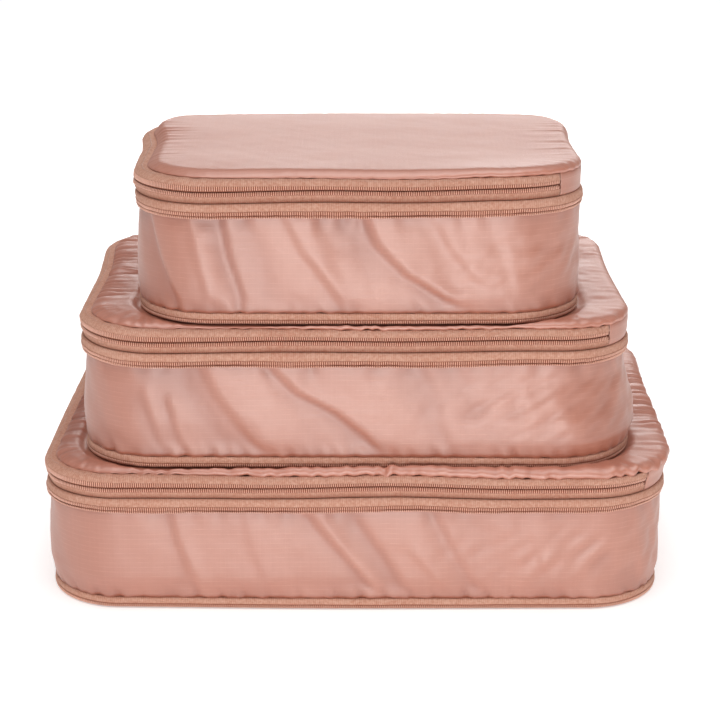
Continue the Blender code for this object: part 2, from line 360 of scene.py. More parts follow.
def ribbon(mesh, band, run, rows, thickness, slot=0, shade=0.0):
    """Lofts a band along a run between two arc lengths, closed when they are a whole turn apart.
    Rows is how many there are, or the shares of the profile where they lie."""
    s = columns(*run)
    shares = np.linspace(0, 1, rows) if isinstance(rows, int) else rows
    out, z = band.at(s[None, :], shares[:, None])
    closed = abs(run[1] - run[0] - band.cube.outline.total) < 1e-9
    loft(mesh, band.cube, s, out, z, thickness, closed, slot, shade)


TOOTH_FACES = np.array([[0, 1, 3, 2], [4, 6, 7, 5], [0, 2, 6, 4], [1, 5, 7, 3], [0, 4, 5, 1], [2, 3, 7, 6]])


def ribs(mesh, band, centres, width, low, high, sunk, proud, slot=0, taper=0.25):
    """Small tapered ridges across a band, from share low to share high of its profile."""
    point_s, point_out, point_z = [], [], []
    for level, share in ((0, low), (1, high)):
        inward = 0.15 * (high - low) * (1 if level == 0 else -1)
        for face in (0, 1):
            for end in (-1, 1):
                reach = end * width / 2 * (1 - taper * face)
                s = centres + reach
                out, z = band.at(s, share + inward * face)
                point_s.append(s)
                point_out.append(out + (proud if face else -sunk))
                point_z.append(z)
    s, out, z = (np.stack(v, -1) for v in (point_s, point_out, point_z))
    xyz = band.cube.place(s, out, z)
    faces = (np.arange(len(centres))[:, None, None] * 8 + TOOTH_FACES[None]).reshape(-1, 4)
    order = faces[:, ::-1]
    flat_s, flat_z = s.ravel(), z.ravel()
    cloth = np.stack([flat_s[order], flat_z[order], 0.0 * flat_s[order]], -1)
    mesh.add(xyz, order, cloth, slot)


def spaced(run, pitch, margin=0.002):
    """Arc lengths a pitch apart along a run, inside a margin at each end."""
    start, stop = run
    count = int((stop - start - 2 * margin) / pitch)
    return np.linspace(start + margin, stop - margin, count + 1)


# ---------------------------------------------------------------- cubes

# Outward push in millimetres at heights above the base, by side and corner.
PUSH = {
    "large": [
        (0, dict(front_left=-3.2, front_right=-1.2, left=-1.5, right=-1, back_left=-3, back_right=-2)),
        (9, dict(front_left=-2.8, front_right=-0.8, left=-1.0, right=-1, back_left=-3, back_right=-1)),
        (22, dict(front=1.2, back_right=1)),
        (66, dict(front=-1.0, right=1.0, front_right=0.6, left=-0.5, back_right=4)),
        (74, dict(front=-0.6, right=2.0, front_right=1.2, back_right=7, left=-2.0, front_left=-1.0)),
        (84, dict(right=4.5, front_right=3.0, back_right=12, left=1.0, front_left=0.8)),
        (91, dict(right=10.0, front_right=5.5, back_right=18, left=0.6, front_left=0.6, back_left=1)),
    ],
    "medium": [
        (0, dict(front_left=-1.5, left=-1.5, front_right=0.5, right=0.5)),
        (8, dict(front_left=-1.5, left=-1.5, front_right=1.5, right=2.0)),
        (18, dict(front_left=-1.0, left=-1.5, front_right=5.0, right=6.5, back_right=3)),
        (30, dict(left=-1.5, front_right=3.8, right=5.0, back_right=2)),
        (56, dict(left=-2.5, front_left=-0.5, right=-2.5, front_right=-1.5)),
        (72, dict(left=-3.0, front_left=-1.5, right=-3.0, front_right=-2.0)),
        (82, dict(left=1.0, back_left=5, front_right=-0.5, right=-0.5)),
        (91, dict(left=1.0, back_left=8, back_right=3, front_right=-0.5, right=-0.5)),
    ],
    "small": [
        (0, dict(front_left=-1.5, front_right=-1.5)),
        (20, dict()),
        (60, dict(left=-0.5, back_left=1, back_right=1)),
        (72, dict(left=-0.5, front_left=-0.6, back_left=3, back_right=2, right=-0.8)),
        (82, dict(left=4.5, front_left=1.0, back_left=9, back_right=4, right=0.0, back=1)),
        (86, dict(left=3.5, front_left=0.3, back_left=11, back_right=5, right=0.5, back=2)),
        (91, dict(left=1.5, front_left=-0.5, back_left=12, back_right=6, right=0.5, back=2)),
    ],
}
LIFT = {
    "large": dict(front_left=-0.5, front=0.1, front_right=0.3, back_right=-6.0, back=-1.5),
    "medium": dict(front_left=-0.5, front=0.2, front_right=0.4),
    "small": dict(left=-0.3, front_left=-0.4, front=1.0, front_right=2.0, right=1.6),
}


class Cube:
    """One cube's line, its shape under the filling, and where its zips and hinge strip run."""

    def __init__(self, size, above):
        self.size = size
        low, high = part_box(size + "_side_wall")
        self.outline = Outline(low, high)
        self.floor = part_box(size + "_base_panel")[0].z
        self.seed = 100 * SIZES.index(size)
        self.levels = np.array([height for height, _ in PUSH[size]]) * MM
        self.pushes = [self.outline.around(**values) for _, values in PUSH[size]]
        self.lifts = self.outline.around(**LIFT[size])
        self.swaying = self.outline.around(left=0.5, front_left=1.0, front=1.0, front_right=1.0, right=0.5)
        self.above = above
        total, back = self.outline.total, self.outline.starts[2]
        gap = math.radians(SEAM_DEG) * CORNER
        self.main = (self.outline.angle(STRIP_DEG), self.outline.angle(360.0 - STRIP_DEG))
        self.strip = (self.main[1] - total + gap, self.main[0] - gap)
        self.squeeze = (back + ZIP_END_GAP, back + total)

    def noise(self, s, wavelength, seed):
        return ripple(s, self.outline.total, wavelength, self.seed + seed)

    def loose(self, s):
        """Zero where the sliders run along the back, since the zips keep to a straight line there."""
        beside = np.abs(np.asarray(s, float) % self.outline.total - self.outline.middles[2])
        return smooth((beside - self.outline.inner[0] - PULL_ROOM) / LOOSE_RUN)

    def push(self, s, height):
        """How far the filling pushes the cloth out, or the seams draw it in."""
        s, height = np.broadcast_arrays(np.asarray(s, float), np.asarray(height, float))
        k = np.clip(np.searchsorted(self.levels, height, side="right") - 1, 0, len(self.levels) - 2)
        share = np.clip((height - self.levels[k]) / (self.levels[k + 1] - self.levels[k]), 0, 1)
        low, high = np.zeros(s.shape), np.zeros(s.shape)
        for level, push in enumerate(self.pushes):
            value = push(s) * MM
            low = np.where(k == level, value, low)
            high = np.where(k + 1 == level, value, high)
        return (low * (1 - share) + high * share) * self.loose(s)

    def place(self, s, out, z):
        """Points at arc lengths s, out from the line and at height z, pushed with the cube's shape."""
        point, normal = self.outline.at(s)
        reach = (out + self.push(s, z - self.floor))[..., None]
        z = np.broadcast_to(z + self.lift(s, z - self.floor), reach.shape[:-1])
        return np.concatenate([point + normal * reach, z[..., None]], -1)

    def lift(self, s, height):
        """How far the filling lifts the rim and the lid, which also sway a little along the front."""
        sway = 0.45 * self.swaying(s) * self.noise(s, 0.150, 60)
        return (self.lifts(s) * self.loose(s) + sway) * MM * smooth((height - 0.040) / 0.035)


def zip_fade(cube, s):
    """One along the main zip, falling to a small value at its two ends and over the strip."""
    s = np.asarray(s, float) % cube.outline.total
    into = np.minimum(s - cube.main[0], cube.main[1] - s) / 0.030
    return 0.12 + 0.88 * smooth(into + 0.25)


def lid_lean(cube):
    """How far the top of the main zip leans in over the lid, by side and corner."""
    return cube.outline.around(left=1.0, front_left=0.72, back_left=0.8, back=0.35, back_right=0.3)


def lid_seam(cube, s):
    """How far inside the outline the lid's seam lies, and its height above the cube's base."""
    lean = lid_lean(cube)(s)
    return (2.6 + 5.0 * lean) * MM * zip_fade(cube, s), (90.45 + 1.1 * lean) * MM


def upper_tape(cube):
    """The main zip's upper half, which turns in over the lid."""
    def shift(s, t, out, z):
        fade = zip_fade(cube, s)
        out = np.where(out < 0, out * fade, out)
        wave = smooth(t * 1.4)
        out = out + wave * 0.00018 * cube.noise(s, 0.022, 1)
        z = z + wave * 0.00018 * cube.noise(s, 0.015, 2)
        return out, z

    front = [(0.35, 83.9), (0.5, 84.9), (0.55, 86.6), (0.0, 88.6), (-1.3, 89.9), (-3.3, 90.3)]
    side = [(0.35, 83.9), (0.65, 85.3), (0.9, 87.8), (0.1, 89.9), (-2.4, 91.5), (-5.4, 92.0), (-8.6, 91.3)]
    return Band(cube, front, side, lid_lean(cube), shift)


def lower_tape(cube):
    """The main zip's lower half, above the rim's seam."""
    def shift(s, t, out, z):
        out = out + 0.00022 * cube.noise(s, 0.030, 3) * np.sin(math.pi * t)
        return out, z

    front = [(-0.9, 76.2), (-0.1, 76.7), (0.45, 78.0), (0.65, 80.0), (0.6, 81.8), (0.45, 82.9),
             (0.0, 83.45), (-0.4, 83.65)]
    return Band(cube, front, shift=shift)


def hanging_tape(cube):
    """The squeeze zip's upper half, which stands off the wall like a small eave."""
    share = cube.outline.around(left=1.0, front_left=0.8, back_left=1.0,
                                right=1.0, front_right=0.9, back_right=1.0)

    def shift(s, t, out, z):
        low = 1 - smooth(t)
        z = z + low * (0.0003 * cube.noise(s, 0.080, 4) + 0.00012 * cube.noise(s, 0.014, 5))
        out = out + low * 0.0003 * cube.noise(s, 0.050, 6)
        return out, z

    front = [(2.5, 68.7), (3.0, 70.2), (3.1, 72.2), (2.7, 74.2), (1.7, 75.7), (0.2, 76.3), (-1.4, 75.9)]
    side = [(1.5, 68.7), (2.0, 70.3), (2.2, 72.3), (2.0, 74.4), (1.3, 75.8), (0.1, 76.3), (-1.4, 75.9)]
    return Band(cube, front, side, share, shift)


def foot_tape(cube):
    """The squeeze zip's lower half, round the foot of the wall."""
    def shift(s, t, out, z):
        out = out + t * (1 - t) * 0.0010 * cube.noise(s, 0.045, 7)
        return out, z

    front = [(1.9, 2.3), (2.1, 2.9), (2.15, 3.7), (2.25, 4.6), (2.2, 5.7), (1.9, 6.6), (1.2, 7.05),
             (-0.6, 7.1)]
    return Band(cube, front, shift=shift)


def painted_shade_rows(rows, low, high):
    """Painted shade behind the teeth, between two shares of a profile."""
    t = np.linspace(0, 1, rows)[:, None]
    return ((t >= low) & (t <= high)).astype(float)


def make_upper_tape(cube):
    mesh, band = Mesh(), upper_tape(cube)
    # Painted shade behind the teeth, over the lowest rows.
    ribbon(mesh, band, cube.main, 17, TAPE_THICK, shade=painted_shade_rows(17, 0.0, 0.30))
    teeth = spaced(cube.main, PITCH)
    ribs(mesh, band, teeth, RIB_WIDTH, 0.03, 0.30, 0.0003, 0.00045, 1)
    thread = spaced(cube.main, STITCH_PITCH)
    ribs(mesh, band, thread, 0.0017, 0.66, 0.70, 0.0002, 0.00022, 2)
    end_stitches(mesh, band)
    mesh.build(cube, "lid_zip_ribbon", "lid", "zip_tape", [TAPE, COIL, THREAD], "main_zip_upper_tape")


def make_lower_tape(cube):
    mesh, band = Mesh(), lower_tape(cube)
    # Painted shade at the tape's lower edge, where it turns in, and behind the teeth up to the slot.
    shade = np.maximum(np.linspace(0.95, -0.6, 13)[:, None], painted_shade_rows(13, 0.62, 1.0))
    ribbon(mesh, band, cube.main, 13, TAPE_THICK, shade=shade)
    teeth = spaced(cube.main, PITCH)
    ribs(mesh, band, teeth[:-1] + PITCH / 2, RIB_WIDTH, 0.62, 0.97, 0.0003, 0.00045, 1)
    end_stitches(mesh, band)
    mesh.build(cube, "rim_zip_ribbon", "rim", "zip_tape", [TAPE, COIL, THREAD], "main_zip_lower_tape")


def end_stitches(mesh, band):
    """Bar tacks across a main zip tape where it meets the hinge strip."""
    cube = band.cube
    for end in (cube.main[0] + 0.0016, cube.main[1] - 0.0016):
        for step in range(5):
            low = 0.08 + 0.16 * step
            ribs(mesh, band, np.array([end]), 0.0004, low, low + 0.11, 0.0003, 0.0003, 2)


def make_hanging_tape(cube):
    mesh, band = Mesh(), hanging_tape(cube)
    # Painted shade behind the teeth and along the top edge, where the tape turns in under the seam.
    shade = np.maximum(painted_shade_rows(17, 0.0, 0.26), np.linspace(-1.8, 0.40, 17)[:, None])
    ribbon(mesh, band, cube.squeeze, 17, TAPE_THICK, shade=shade)
    teeth = spaced(cube.squeeze, PITCH)
    ribs(mesh, band, teeth, RIB_WIDTH, 0.02, 0.27, 0.0003, 0.00042, 1)
    mesh.build(cube, "squeeze_upper_ribbon", "rim", "zip_tape", [TAPE, COIL], "squeeze_zip_upper_tape")
    comb = Mesh()
    edge = Band(cube, [(2.2, 66.9), (2.45, 67.7), (2.5, 68.8)], [(1.2, 66.9), (1.45, 67.7), (1.5, 68.8)],
                band.share, band.shift)
    back = Band(cube, [(2.2, 67.5), (2.4, 68.7)], [(1.2, 67.5), (1.4, 68.7)], band.share, band.shift)
    # The dark strip behind the comb is painted shade: tape in its shade colour, so the gaps between the
    # teeth look dark.
    ribbon(comb, back, cube.squeeze, 3, 0.0006, 1, 1.0)
    ribs(comb, edge, teeth, RIB_WIDTH, 0.0, 0.98, 0.0003, 0.0004)
    comb.build(cube, "squeeze_upper_teeth", "rim", "zip_coil", [COIL, TAPE], "squeeze_zip_upper_coil")


def make_foot_tape(cube):
    mesh, band = Mesh(), foot_tape(cube)
    # Painted shade: a dark line where the tape meets the comb below.
    ribbon(mesh, band, cube.squeeze, 21, TAPE_THICK, shade=0.8 * painted_shade_rows(21, 0.0, 0.16))
    mesh.build(cube, "squeeze_lower_ribbon", "base", "zip_tape", [TAPE], "squeeze_zip_lower_tape")
    comb = Mesh()
    edge = Band(cube, [(1.6, 0.35), (2.05, 1.2), (2.2, 3.0)])
    # The dark strip behind the comb is painted shade between its teeth.
    ribbon(comb, Band(cube, [(1.6, 0.8), (1.95, 2.4)]), cube.squeeze, 3, 0.0009, 1, 0.8)
    ribs(comb, edge, spaced(cube.squeeze, PITCH), RIB_WIDTH, 0.0, 0.98, 0.0004, 0.00045)
    comb.build(cube, "squeeze_lower_teeth", "base", "zip_coil", [COIL, TAPE], "squeeze_zip_lower_coil")


def make_inner_coils(cube):
    """The main zip's coils, on the inside, which only show when a lid is open."""
    for name, node, body, low, high in (
        ("rim_zip_coil", "main_zip_lower_coil", "rim", 81.3, 83.0),
        ("lid_zip_coil", "main_zip_upper_coil", "lid", 84.2, 85.9),
    ):
        mesh = Mesh()
        core = Band(cube, [(-1.35, low + 0.35), (-1.2, (low + high) / 2), (-1.35, high - 0.35)])
        ribbon(mesh, core, cube.main, 4, 0.0009)
        turns = Band(cube, [(-1.5, low), (-1.5, high)])
        teeth = spaced(cube.main, PITCH)
        ribs(mesh, turns, teeth, RIB_WIDTH, 0.0, 1.0, 0.0011, 0.0002, taper=0.4)
        mesh.build(cube, name, body, "zip_coil", [COIL], node)


def make_bindings(cube):
    """Ribbon folded over the raw edges of the three inside seams."""
    for name, body, low, high, seed in (
        ("base_binding", "base", 4.6, 9.4, 11),
        ("rim_binding", "rim", 73.2, 78.9, 12),
        ("lid_binding", "lid", 87.2, 90.0, 13),
    ):
        def shift(s, t, out, z, seed=seed):
            out = out + 0.00025 * cube.noise(s, 0.020, seed)
            return out, z + 0.0002 * cube.noise(s, 0.016, seed + 5)

        middle = (low + high) / 2
        mesh = Mesh()
        bulge = [(-2.3, low), (-1.9, low + 0.3), (-1.8, middle), (-1.9, high - 0.3), (-2.3, high)]
        band = Band(cube, bulge, shift=shift)
        whole = (0.0, cube.outline.total)
        ribbon(mesh, band, whole, 7, BINDING_THICK)
        thread = spaced(whole, STITCH_PITCH, 0.0)[:-1]
        inside = Band(cube, [(-2.75, low + 1.0), (-2.75, low + 1.4)], shift=shift)
        ribs(mesh, inside, thread, 0.0017, 0.0, 1.0, 0.00025, 0.0002, 1)
        mesh.build(cube, name + "_ribbon", body, "binding", [BINDING, THREAD], name)


def make_strip(cube):
    """The plain cloth that the lid turns on. One row of faces crosses the hinge's line, where an open lid
    would draw it straight across the corners instead of bending it into a hoop."""
    def shift(s, t, out, z):
        out = out + 0.00012 * np.sin(math.pi * t) * cube.noise(s, 0.030, 21)
        return out, z

    mesh = Mesh()
    line = [(-1.2, 75.95), (0.0, 76.7), (0.35, 78.5), (0.2, 83.6), (0.35, 87.2), (-0.1, 89.9), (-1.3, 91.4)]
    shares = np.concatenate([np.linspace(0, HINGE_SHARE - HINGE_GAP, HINGE_ROWS),
                             np.linspace(HINGE_SHARE + HINGE_GAP, 1, HINGE_ROWS)])
    ribbon(mesh, Band(cube, line, shift=shift), cube.strip, shares, CLOTH_THICK)
    strip = mesh.build(cube, "hinge_fabric", "rim", "ripstop", [RIPSTOP], "hinge_strip")
    strip.parent = None
    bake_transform(strip)
    cube.strip[1] - cube.strip[0]


# ---------------------------------------------------------------- walls

# Folds of the front, as (millimetres right of the middle, height) points from the top down,
# with the fold's depth and width in millimetres.
FRONT_FOLDS = {
    "large": [
        ([(-34, 72), (-18, 52), (-3, 34), (13, 14)], 2.4, 7.0),
        ([(0, 66), (18, 40), (35, 12)], 1.5, 10.0),
        ([(-117, 74), (-112, 48), (-105, 28), (-97, 12)], 1.9, 8.0),
        ([(-72, 72), (-66, 46), (-57, 20)], 0.9, 12.0),
        ([(48, 72), (62, 46), (76, 21), (88, 6)], 1.5, 10.0),
        ([(36, 40), (60, 12)], 0.9, 7.0),
        ([(105, 72), (114, 46), (126, 18)], 1.0, 12.0),
    ],
    "medium": [
        ([(-60, 74), (-36, 50), (-12, 37), (6, 23), (18, 10)], 2.6, 7.5),
        ([(-98, 72), (-86, 48), (-73, 30), (-61, 15), (-50, 5)], 2.0, 9.0),
        ([(-118, 46), (-108, 10)], 1.5, 8.0),
        ([(-133, 50), (-121, 10)], 1.0, 8.0),
        ([(40, 74), (52, 46), (60, 16)], 1.0, 13.0),
        ([(98, 70), (109, 36)], 0.8, 11.0),
    ],
    "small": [
        ([(0, 74), (12, 50), (30, 32), (54, 17), (78, 4)], 3.0, 7.0),
        ([(-48, 74), (-34, 46), (-16, 22), (-4, 5)], 2.0, 10.0),
        ([(-86, 76), (-79, 42), (-68, 7)], 1.8, 9.0),
        ([(-136, 70), (-124, 38), (-108, 7)], 2.2, 8.0),
        ([(-108, 74), (-100, 40), (-92, 10)], 1.3, 10.0),
        ([(38, 76), (57, 48), (74, 26)], 1.2, 10.0),
        ([(84, 62), (93, 38), (97, 20)], 0.7, 7.0),
    ],
}
WALL_ROWS = 32
FOLD_DEPTH = 0.85
FOLD_WIDTH = 0.80
FOLD_EDGE = 0.34
FOLD_REACH = 1.9
VALLEY_SHADE = 1.10
CREASE_TURN = 34.0
# How strongly shade is painted at the wall's foot, under the hanging tape and at its front-left corner.
# VALLEY_SHADE paints it in the folds' valleys.
FOOT_SHADE, HEAD_SHADE, CORNER_SHADE = 0.96, 0.48, 0.22


def front_folds(cube, s, height):
    """Laps of cloth: each falls away on its left, then steps up to a ridge on its right."""
    relief = np.zeros_like(height)
    for line, depth, width in FRONT_FOLDS[cube.size]:
        relief += fold(cube, s, height, line, depth, width)
    return relief


def fold(cube, s, height, line, depth, width):
    x, z = (np.array(v, float) * MM for v in zip(*line))
    middle = cube.outline.front(np.interp(height, z[::-1], x[::-1]))
    slope = (x[-1] - x[0]) / (z[0] - z[-1])
    beside = (s - middle) / math.hypot(1.0, slope) / (FOLD_WIDTH * width * MM)
    inside = smooth((height - z[-1]) / 0.012 + 0.7) * smooth((z[0] - height) / 0.014 + 0.6)
    step = np.tanh(beside / FOLD_EDGE) * np.exp(-np.abs(beside) / FOLD_REACH)
    return FOLD_DEPTH * depth * MM * inside * step


def other_folds(cube, s, height):
    """Softer folds of the same slant on the sides and the back, away from the front's."""
    rng = np.random.default_rng(cube.seed + 31)
    relief = np.zeros_like(height)
    reach = cube.outline.total / 2 - 0.17
    for place in np.arange(0.0, 2 * reach, 0.034):
        start = 170 + 1000 * place + rng.uniform(-10, 10)
        run = rng.uniform(8, 34)
        top, bottom = rng.uniform(52, 70), rng.uniform(8, 24)
        line = [(start, top), (start + run, bottom)]
        relief += fold(cube, s, height, line, rng.uniform(0.4, 1.8), rng.uniform(6, 11))
    return relief


def make_wall(cube):
    outline = cube.outline
    s = columns(0.0, outline.total)
    climb = np.linspace(0, 1, WALL_ROWS)[:, None]
    base = [(-0.4, 6.7), (0.9, 6.85), (1.55, 7.3), (1.75, 8.4), (1.85, 11.0), (2.0, 22.0), (1.6, 36.0),
            (0.8, 52.0), (0.1, 66.0), (-0.5, 75.5)]
    out, z = Band(cube, base).at(s[None, :], climb)
    height = z - cube.floor
    around = s[None, :] + 0.0 * height
    # Fold lines are written round the line from the front's middle, so s runs on past a whole turn.
    ahead = np.where(around < outline.middles[4], around + outline.total, around)
    relief = front_folds(cube, around, height) + other_folds(cube, ahead, height)
    slant = around + 0.45 * height
    relief += 0.0010 * crumple(slant, 0.25 * height, 0.065, cube.seed + 32, outline.total)
    relief += 0.00022 * crumple(slant, 0.35 * height, 0.024, cube.seed + 33, outline.total)
    relief += 0.00007 * crumple(around, height, 0.009, cube.seed + 34, outline.total)
    creased = outline.around(front_right=1.0, left=0.5)(s) * bell(height - 0.038, 0.018)
    turn = math.radians(CREASE_TURN)
    along = around * math.cos(turn) + height * math.sin(turn)
    across = height * math.cos(turn) - around * math.sin(turn)
    relief += 0.00060 * creased * crumple(0.35 * along, across, 0.011, cube.seed + 39)
    calm = smooth((height - 0.0075) / 0.012) * smooth((0.0765 - height) / 0.010)
    foot = bell(height - 0.0095, 0.0045)
    head = bell(height - 0.066, 0.006)
    pucker = cube.noise(around + 0.4 * height, 0.011, 35)
    relief = relief * calm + 0.00055 * foot * pucker + 0.00045 * head * cube.noise(around, 0.017, 36)
    z = z + 0.00035 * bell(height - 0.0078, 0.0018) * cube.noise(around, 0.012, 37)
    out = out + relief - 0.0008 * outline.around(front=1.0, front_left=0.5, front_right=0.5, back=0.6)(s)
    spare = np.interp(height, [0.0, 0.030, 0.042, 0.0756], [0.0046, 0.0044, 0.0024, 0.0006])
    eased = spare - 0.0008 * np.exp(-(out - spare + 0.0008) / 0.0008)
    out = np.where(out > spare - 0.0008, eased, out)
    # Painted shade: a thin line at the seam over the foot tape, darker in uneven patches towards the foot
    # and towards the hanging tape, at the front-left corner, in the folds' valleys and in the puckers'
    # hollows.
    patchy = 0.70 + 0.30 * cube.noise(around, 0.045, 38)
    shade = 0.50 * np.exp(-((height - 0.0070) / 0.0012))
    shade = shade + FOOT_SHADE * patchy * np.exp(-((height - 0.0070) / 0.0085))
    shade = shade + HEAD_SHADE * patchy * np.exp(-(np.maximum(0.0690 - height, 0.0) / 0.0050))
    shade = shade + CORNER_SHADE * outline.around(front_left=1.0, left=0.5)(s)
    shade = shade + VALLEY_SHADE * np.clip((-relief - 0.0002) / 0.0030, 0, 0.6)
    shade = shade + 0.35 * foot * np.clip(-pucker - 0.5, 0, 1)
    mesh = Mesh()
    loft(mesh, cube, s, out, z, CLOTH_THICK, True, shade=np.clip(shade, 0, 1))
    wall = mesh.build(cube, "wall_fabric", "base", "ripstop", [RIPSTOP], "side_wall")
    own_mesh(wall)


# ---------------------------------------------------------------- lids and bases

def grid_lines(half, coarse, edge=0.008, fine=0.0005):
    """Positions across a panel, fine near both edges."""
    steps = [0.0]
    step = fine
    while steps[-1] < half:
        steps.append(steps[-1] + step)
        if steps[-1] > edge:
            step = min(step * 1.25, coarse)
    steps = np.array(steps) * half / steps[-1]
    return np.concatenate([steps - half, (half - steps[:-1])[::-1]])


def panel_grid(outline, coarse):
    """A grid over the rounded rectangle, its corner squares drawn into quarter discs."""
    across, deep = (grid_lines(half, coarse) for half in outline.half)
    x, y = np.meshgrid(across, deep, indexing="ij")
    a = (np.abs(x) - outline.inner[0]) / CORNER
    b = (np.abs(y) - outline.inner[1]) / CORNER
    cornered = (a > 0) & (b > 0)
    bent_a = a * np.sqrt(1 - np.clip(b, 0, 1) ** 2 / 2)
    bent_b = b * np.sqrt(1 - np.clip(a, 0, 1) ** 2 / 2)
    x = np.where(cornered, np.sign(x) * (outline.inner[0] + CORNER * bent_a), x)
    y = np.where(cornered, np.sign(y) * (outline.inner[1] + CORNER * bent_b), y)
    return x + outline.centre[0], y + outline.centre[1]


def surface_normals(xyz):
    along = np.gradient(xyz, axis=0)
    across = np.gradient(xyz, axis=1)
    normal = np.cross(along, across)
    return normal / (np.linalg.norm(normal, axis=-1, keepdims=True) + 1e-15)


def panel(mesh, upper, lower, shade=0.0):
    """Two matching grids, the faces of a sheet of real thickness, joined round their edges."""
    rows, cols = upper.shape[:2]
    row, column, number = grid_faces(rows, cols, False, False)
    flat = np.stack([upper[..., 0], upper[..., 1], np.broadcast_to(shade, (rows, cols))], -1)
    mesh.add(upper, number[..., ::-1], flat[row, column][..., ::-1, :])
    start = mesh.count
    mesh.add(lower, number, flat[row, column])
    ring = np.concatenate([
        np.arange(rows - 1) * cols,
        (rows - 1) * cols + np.arange(cols - 1),
        np.arange(rows - 1, 0, -1) * cols + cols - 1,
        np.arange(cols - 1, 0, -1),
    ])
    after = np.roll(ring, -1)
    above = start - rows * cols
    sides = np.stack([above + ring, above + after, start + after, start + ring], -1)
    mesh.faces.append(sides)
    spots = flat.reshape(-1, 3)
    mesh.cloth.append(spots[np.stack([ring, after, after, ring], -1)].reshape(-1, 3))
    mesh.slots.append(np.zeros(len(sides), int))


# The edge of a lid, rolled and flat, as (millimetres inside its seam, height above it).
LIP = [(1.5, 0.0), (0.4, -0.35), (-0.45, 0.2), (-0.75, 1.2), (-0.5, 2.3), (0.5, 3.2), (2.6, 3.8), (6.0, 4.0)]
FLAT_LIP = [(0.9, 0.1), (0.1, -0.1), (-0.1, 0.35), (0.7, 0.9), (2.0, 1.2), (4.0, 1.45), (6.5, 1.6),
            (9.0, 1.65)]

# How far in the edge's profile goes, where the plain grid starts again, and where the push ends.
LIP_REACH = 0.0115
LIP_BLEND = 0.040
LID_EASE = 0.046
LID_TOP = 0.0931
LID_LOOK = {
    "large": dict(crown=0.0, puff=1.6, waves=0.5, back=0.0, ruffle=4.2, left_shade=0.95, gather=2.0,
              rise=1.12, roll=(0.25, 1.0, 0.9), right=(1.0, 0.35), bunch=1.0),
    "medium": dict(crown=0.0, puff=1.4, waves=0.4, back=0.0, ruffle=2.0, left_shade=0.25, gather=1.7,
               rise=0.88, roll=(0.25, 1.0, 0.9), right=(0.08, 0.10), bunch=0.35),
    "small": dict(crown=1.2, puff=2.4, waves=0.07, back=3.2, ruffle=1.4, left_shade=0.0, gather=0.40,
              rise=0.66, roll=(0.0, 0.35, 1.0), right=(1.0, 0.5), bunch=1.0),
}


